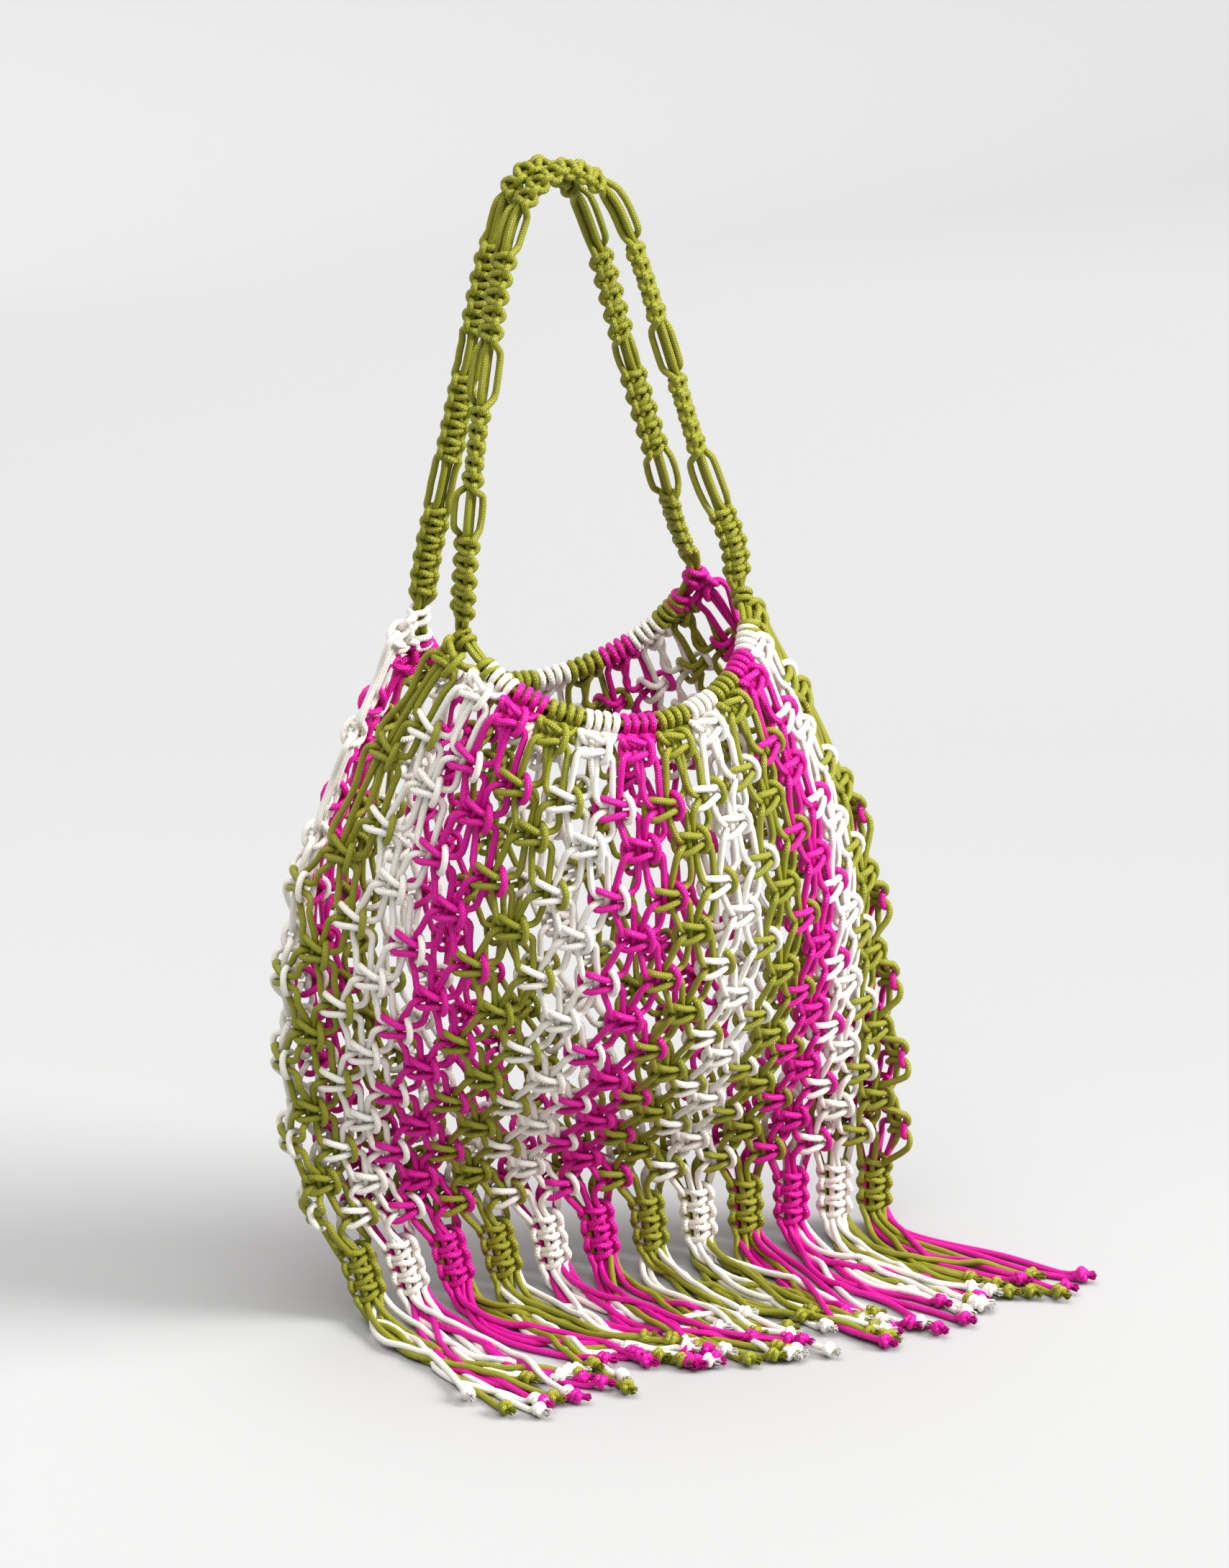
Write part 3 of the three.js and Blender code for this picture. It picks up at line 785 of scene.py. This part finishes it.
def cord_material(name, colour, depth):
    """Braided cord of one colour, with painted shade in the grooves between its plaits, and slightly
    uneven.
    """
    made = bpy.data.materials.new(name)
    made.use_nodes = True
    tree = made.node_tree
    nodes, links = tree.nodes, tree.links
    shader = nodes["Principled BSDF"]
    set_values(shader, CORD_FINISH)
    place = nodes.new("ShaderNodeTexCoord")
    uneven = nodes.new("ShaderNodeTexNoise")
    set_values(uneven, {"Scale": UNEVEN_SCALE, "Detail": UNEVEN_DETAIL})
    links.new(place.outputs["Object"], uneven.inputs["Vector"])
    round_way = nodes.new("ShaderNodeAttribute")
    round_way.attribute_name = "cord_round"
    run = nodes.new("ShaderNodeAttribute")
    run.attribute_name = "cord_run"
    braid = nodes.new("ShaderNodeGroup")
    braid.node_tree = braid_group()
    set_values(braid, {"Carriers": BRAID_CARRIERS, "Plait Length": PLAIT_LENGTH})
    links.new(round_way.outputs["Vector"], braid.inputs["Round"])
    links.new(run.outputs["Fac"], braid.inputs["Run"])
    # Painted shade: the ramp darkens the colour by depth in the grooves between the plaits and keeps
    # the full colour on their crowns.
    shade = nodes.new("ShaderNodeValToRGB")
    low, high = shade.color_ramp.elements
    low.position, high.position = BRAID_EDGE, BRAID_CROWN
    low.color = (*[c * depth for c in colour], 1)
    high.color = (*colour, 1)
    links.new(braid.outputs["Height"], shade.inputs["Fac"])
    tint = nodes.new("ShaderNodeMix")
    tint.data_type = "RGBA"
    tint.blend_type = "MULTIPLY"
    tint.inputs["Factor"].default_value = UNEVEN_SHARE
    links.new(shade.outputs["Color"], tint.inputs["A"])
    links.new(uneven.outputs["Fac"], tint.inputs["B"])
    links.new(tint.outputs["Result"], shader.inputs["Base Color"])
    bump = nodes.new("ShaderNodeBump")
    set_values(bump, {"Strength": BRAID_BUMP, "Distance": BRAID_RELIEF})
    links.new(braid.outputs["Height"], bump.inputs["Height"])
    links.new(bump.outputs["Normal"], shader.inputs["Normal"])
    return made


def linear(colour):
    """A screen colour as the shader's linear one."""
    return [c / 12.92 if c < 0.04045 else ((c + 0.055) / 1.055) ** 2.4 for c in colour]


def cord_colour(name):
    """The shared material of one cord colour."""
    if name not in bpy.data.materials:
        sizes = bpy.context.scene.net_bag
        cord_material(name, linear(getattr(sizes, name)), BRAID_PAINTED_SHADE[name])
    return bpy.data.materials[name]


# Cord meshes

def cord_tree():
    """Sweeps a round cord along every spline, and keeps its run and its way round."""
    name = "sweep_cord"
    if name in bpy.data.node_groups:
        return bpy.data.node_groups[name]
    tree = bpy.data.node_groups.new(name, "GeometryNodeTree")
    socket(tree, "Geometry", "NodeSocketGeometry")
    socket(tree, "Diameter", "NodeSocketFloat", default=CORD * METRES)
    socket(tree, "Sides", "NodeSocketInt", default=CORD_SIDES)
    socket(tree, "Material", "NodeSocketMaterial")
    socket(tree, "Geometry", "NodeSocketGeometry", "OUTPUT")
    nodes, links = tree.nodes, tree.links
    inputs = nodes.new("NodeGroupInput")
    output = nodes.new("NodeGroupOutput")
    length = nodes.new("GeometryNodeSplineParameter")
    keep_run = nodes.new("GeometryNodeStoreNamedAttribute")
    keep_run.inputs["Name"].default_value = "cord_run"
    links.new(inputs.outputs["Geometry"], keep_run.inputs["Geometry"])
    links.new(length.outputs["Length"], keep_run.inputs["Value"])
    circle = nodes.new("GeometryNodeCurvePrimitiveCircle")
    radius = nodes.new("ShaderNodeMath")
    radius.operation = "MULTIPLY"
    radius.inputs[1].default_value = 0.5
    links.new(inputs.outputs["Diameter"], radius.inputs[0])
    links.new(radius.outputs[0], circle.inputs["Radius"])
    links.new(inputs.outputs["Sides"], circle.inputs["Resolution"])
    position = nodes.new("GeometryNodeInputPosition")
    keep_round = nodes.new("GeometryNodeStoreNamedAttribute")
    keep_round.data_type = "FLOAT_VECTOR"
    keep_round.inputs["Name"].default_value = "cord_round"
    links.new(circle.outputs["Curve"], keep_round.inputs["Geometry"])
    links.new(position.outputs[0], keep_round.inputs["Value"])
    sweep = nodes.new("GeometryNodeCurveToMesh")
    sweep.inputs["Fill Caps"].default_value = True
    links.new(keep_run.outputs["Geometry"], sweep.inputs["Curve"])
    links.new(keep_round.outputs["Geometry"], sweep.inputs["Profile Curve"])
    smooth = nodes.new("GeometryNodeSetShadeSmooth")
    links.new(sweep.outputs["Mesh"], smooth.inputs["Geometry"])
    realize = nodes.new("GeometryNodeRealizeInstances")
    links.new(smooth.outputs["Geometry"], realize.inputs["Geometry"])
    paint = nodes.new("GeometryNodeSetMaterial")
    links.new(realize.outputs["Geometry"], paint.inputs["Geometry"])
    links.new(inputs.outputs["Material"], paint.inputs["Material"])
    links.new(paint.outputs["Geometry"], output.inputs["Geometry"])
    return tree


def set_input(modifier, name, value):
    """Sets a modifier's input by its socket's identifier."""
    for item in modifier.node_group.interface.items_tree:
        if item.item_type == "SOCKET" and item.in_out == "INPUT" and item.name == name:
            modifier[item.identifier] = value


def cord_piece(name, lines, colour, nodes, diameter=None, sides=CORD_SIDES):
    """A plain mesh of cords along lines given in millimetres, in the place of CAD nodes if any."""
    curve = bpy.data.curves.new(name, "CURVE")
    curve.dimensions = "3D"
    for line in lines:
        spline = curve.splines.new("POLY")
        spline.points.add(len(line) - 1)
        spline.points.foreach_set("co", np.c_[np.asarray(line) * METRES, np.ones(len(line))].ravel())
    holder = bpy.data.objects.new(name + "_line", curve)
    bpy.context.scene.collection.objects.link(holder)
    modifier = holder.modifiers.new("Cord", "NODES")
    modifier.node_group = cord_tree()
    sizes = bpy.context.scene.net_bag
    set_input(modifier, "Diameter", diameter * METRES if diameter else sizes.cord)
    set_input(modifier, "Sides", sides)
    set_input(modifier, "Material", cord_colour(colour))
    seen = holder.evaluated_get(bpy.context.evaluated_depsgraph_get())
    mesh = bpy.data.meshes.new_from_object(seen)
    bpy.data.objects.remove(holder)
    piece = bpy.data.objects.new(name, mesh)
    bpy.context.scene.collection.objects.link(piece)
    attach(piece, "root")
    if nodes:
        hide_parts(*nodes)
    return piece


# Add-on

class NetBagSizes(bpy.types.PropertyGroup):
    """Sizes and colours of the net bag."""

    cord: bpy.props.FloatProperty(
        name="Cord", description="Diameter of the braided cord", default=CORD * METRES,
        min=0.002, max=0.008, unit="LENGTH")
    olive: bpy.props.FloatVectorProperty(
        name="Olive", description="Colour of the handles and the green columns",
        default=(0.665, 0.665, 0.17), size=3, min=0, max=1, subtype="COLOR_GAMMA")
    ivory: bpy.props.FloatVectorProperty(
        name="Ivory", description="Colour of the pale columns",
        default=(0.99, 0.975, 0.94), size=3, min=0, max=1, subtype="COLOR_GAMMA")
    magenta: bpy.props.FloatVectorProperty(
        name="Magenta", description="Colour of the pink columns",
        default=(0.95, 0.01, 0.68), size=3, min=0, max=1, subtype="COLOR_GAMMA")


class NETBAG_OT_camera(bpy.types.Operator):
    """Sets the camera where the bag is seen from its front left."""

    bl_idname = "netbag.camera"
    bl_label = "Camera"

    def execute(self, context):
        data = bpy.data.cameras.new("bag_camera")
        data.lens = CAMERA_LENS
        data.sensor_width = CAMERA_SENSOR
        data.clip_end = CAMERA_REACH
        camera = bpy.data.objects.new("bag_camera", data)
        flat = math.cos(CAMERA_ELEVATION)
        back = Vector((math.sin(CAMERA_AZIMUTH) * flat, -math.cos(CAMERA_AZIMUTH) * flat,
                       math.sin(CAMERA_ELEVATION)))
        camera.location = CAMERA_TARGET + back * CAMERA_DISTANCE
        camera.rotation_euler = (-back).to_track_quat("-Z", "Y").to_euler()
        context.scene.collection.objects.link(camera)
        context.scene.camera = camera
        return {"FINISHED"}


class NETBAG_OT_net(bpy.types.Operator):
    """Knots the twenty-four columns of the net on their rims."""

    bl_idname = "netbag.net"
    bl_label = "Net Columns"

    def execute(self, context):
        for place in range(1, PLACES + 1):
            side, column = side_and_column(place)
            node = f"{side}_column_{column:02d}"
            colour = LETTERS[COLUMN_COLOURS[side][column - 1]]
            lines = [thinned(smooth_line(column_cord(place, *cord))) for cord in COLUMN_CORDS]
            cord_piece(f"{node}_cords", lines, colour, [node])
        return {"FINISHED"}


class NETBAG_OT_handles(bpy.types.Operator):
    """Knots the two straps, whose core cords run on round the mouth as its rim."""

    bl_idname = "netbag.handles"
    bl_label = "Handles"

    def execute(self, context):
        for side in ("front", "back"):
            worker_a, worker_b, core_a, core_b = strap_strands(side)
            cords = []
            for core, out in ((core_a, RIM_CORE_OUT), (core_b, -RIM_CORE_OUT)):
                cords.append(np.vstack((core, rim_lane(side, out), core[:1])))
            for worker, out in ((worker_a, RIM_END_OUT), (worker_b, -RIM_END_OUT)):
                lane = rim_lane(side, out)
                cords.append(np.vstack((lane[-RIM_END_POINTS:], worker, lane[:RIM_END_POINTS])))
            lines = [thinned(smooth_line(cord)) for cord in cords]
            cord_piece(f"handle_{side}_cords", lines, "olive", [f"handle_{side}"])
        return {"FINISHED"}


class NETBAG_OT_tassels(bpy.types.Operator):
    """Ties the sinnets under the seam and lays out the fringe with its end knots."""

    bl_idname = "netbag.tassels"
    bl_label = "Tassels"

    def execute(self, context):
        fringe = loose_fringe()
        chance = np.random.default_rng(TUFT_SEED)
        for column in range(1, COLUMNS + 1):
            node = f"tassel_{column:02d}"
            for side, place in (("front", column), ("back", PLACES + 1 - column)):
                colour = LETTERS[COLUMN_COLOURS[side][column - 1]]
                lines, fibres = [], []
                for number in (1, 2, 3, 4):
                    loose = fringe[place, number]
                    way = loose[-1] - loose[-4]
                    knot = end_knot(loose[-1], way, chance.uniform(*END_KNOT_ROLLS))
                    line = np.vstack((sinnet_points(place, number), loose[::2], knot))
                    lines.append(thinned(smooth_line(line)))
                    fibres += tuft_fibres(knot[-1], way, chance)
                cord_piece(f"{node}_{side}_cords", lines, colour, [node])
                cord_piece(f"{node}_{side}_tufts", fibres, colour, [], TUFT_FIBRE, TUFT_SIDES)
        return {"FINISHED"}


class NETBAG_OT_stage(bpy.types.Operator):
    """Sets the pale floor, the backdrop and the soft studio lights."""

    bl_idname = "netbag.stage"
    bl_label = "Stage"

    def execute(self, context):
        studio_floor()
        for name, (place, power, softness) in SUNS.items():
            sun_light(name, place, power, softness)
        world = bpy.data.worlds.new("studio")
        world.use_nodes = True
        glow = {"Color": STUDIO_TINT, "Strength": STUDIO_GLOW}
        set_values(world.node_tree.nodes["Background"], glow)
        context.scene.world = world
        context.scene.view_settings.view_transform = "Standard"
        context.scene.view_settings.look = "Medium High Contrast"
        return {"FINISHED"}


def studio_floor():
    """A floor that curves up into a backdrop, of one sheet of paper."""
    floor_z = FLOOR_Z * METRES
    outline = [(PAPER_FRONT, floor_z)]
    for step in range(PAPER_STEPS + 1):
        angle = step / PAPER_STEPS * math.pi / 2
        back = PAPER_BEND + PAPER_RADIUS * math.sin(angle)
        outline.append((back, floor_z + PAPER_RADIUS * (1 - math.cos(angle))))
    outline.append((PAPER_BEND + PAPER_RADIUS, PAPER_TOP))
    vertices = [(x, y, z) for y, z in outline for x in (-PAPER_HALF_WIDTH, PAPER_HALF_WIDTH)]
    faces = [(2 * i, 2 * i + 1, 2 * i + 3, 2 * i + 2) for i in range(len(outline) - 1)]
    mesh = bpy.data.meshes.new("studio_floor")
    mesh.from_pydata(vertices, [], faces)
    mesh.shade_smooth()
    floor = bpy.data.objects.new("studio_floor", mesh)
    bpy.context.scene.collection.objects.link(floor)
    paint = bpy.data.materials.new("studio_paper")
    paint.use_nodes = True
    nodes, links = paint.node_tree.nodes, paint.node_tree.links
    shader = nodes["Principled BSDF"]
    set_values(shader, PAPER_FINISH)
    # Painted light and shade: the paper's grey is lighter near the bag and darker behind it, standing
    # in for the fall-off of the studio light.
    place = nodes.new("ShaderNodeTexCoord")
    along = nodes.new("ShaderNodeVectorMath")
    along.operation = "DOT_PRODUCT"
    along.inputs[1].default_value = (-math.sin(CAMERA_AZIMUTH), math.cos(CAMERA_AZIMUTH), 0)
    depth = nodes.new("ShaderNodeMapRange")
    depth.inputs["From Max"].default_value = PAPER_PAINTED_LIGHT[-1][0]
    shade = nodes.new("ShaderNodeValToRGB")
    stops = shade.color_ramp.elements
    for at, _ in PAPER_PAINTED_LIGHT[1:-1]:
        stops.new(at / PAPER_PAINTED_LIGHT[-1][0])
    for stop, (_, grey) in zip(stops, PAPER_PAINTED_LIGHT):
        stop.color = (grey, grey, grey, 1)
    links.new(place.outputs["Object"], along.inputs[0])
    links.new(along.outputs["Value"], depth.inputs["Value"])
    links.new(depth.outputs["Result"], shade.inputs["Fac"])
    links.new(shade.outputs["Color"], shader.inputs["Base Color"])
    mesh.materials.append(paint)
    return floor


def sun_light(name, place, power, softness):
    """An even light from a direction, with shadows that soften over an angle in degrees."""
    data = bpy.data.lights.new(name, "SUN")
    data.energy = power
    data.angle = math.radians(softness)
    light = bpy.data.objects.new(name, data)
    light.location = place
    light.rotation_euler = (-Vector(place)).to_track_quat("-Z", "Y").to_euler()
    bpy.context.scene.collection.objects.link(light)


class NETBAG_PT_sidebar(bpy.types.Panel):
    """Lists the bag's sizes and its pieces."""

    bl_idname = "NETBAG_PT_sidebar"
    bl_label = "Net Bag"
    bl_space_type = "VIEW_3D"
    bl_region_type = "UI"
    bl_category = "Net Bag"

    def draw(self, context):
        sizes = context.scene.net_bag
        for name in ("cord", "olive", "ivory", "magenta"):
            self.layout.prop(sizes, name)
        for step in STEPS:
            self.layout.operator(step.bl_idname)


STEPS = (NETBAG_OT_camera, NETBAG_OT_net, NETBAG_OT_handles, NETBAG_OT_tassels, NETBAG_OT_stage)
CLASSES = (NetBagSizes, *STEPS, NETBAG_PT_sidebar)


def register():
    for made in CLASSES:
        bpy.utils.register_class(made)
    bpy.types.Scene.net_bag = bpy.props.PointerProperty(type=NetBagSizes)


def unregister():
    del bpy.types.Scene.net_bag
    for made in reversed(CLASSES):
        bpy.utils.unregister_class(made)


def main():
    """Builds the whole bag."""
    register()
    bpy.ops.netbag.camera()
    bpy.ops.netbag.net()
    bpy.ops.netbag.handles()
    bpy.ops.netbag.tassels()
    bpy.ops.netbag.stage()


if __name__ == "__main__":
    main()
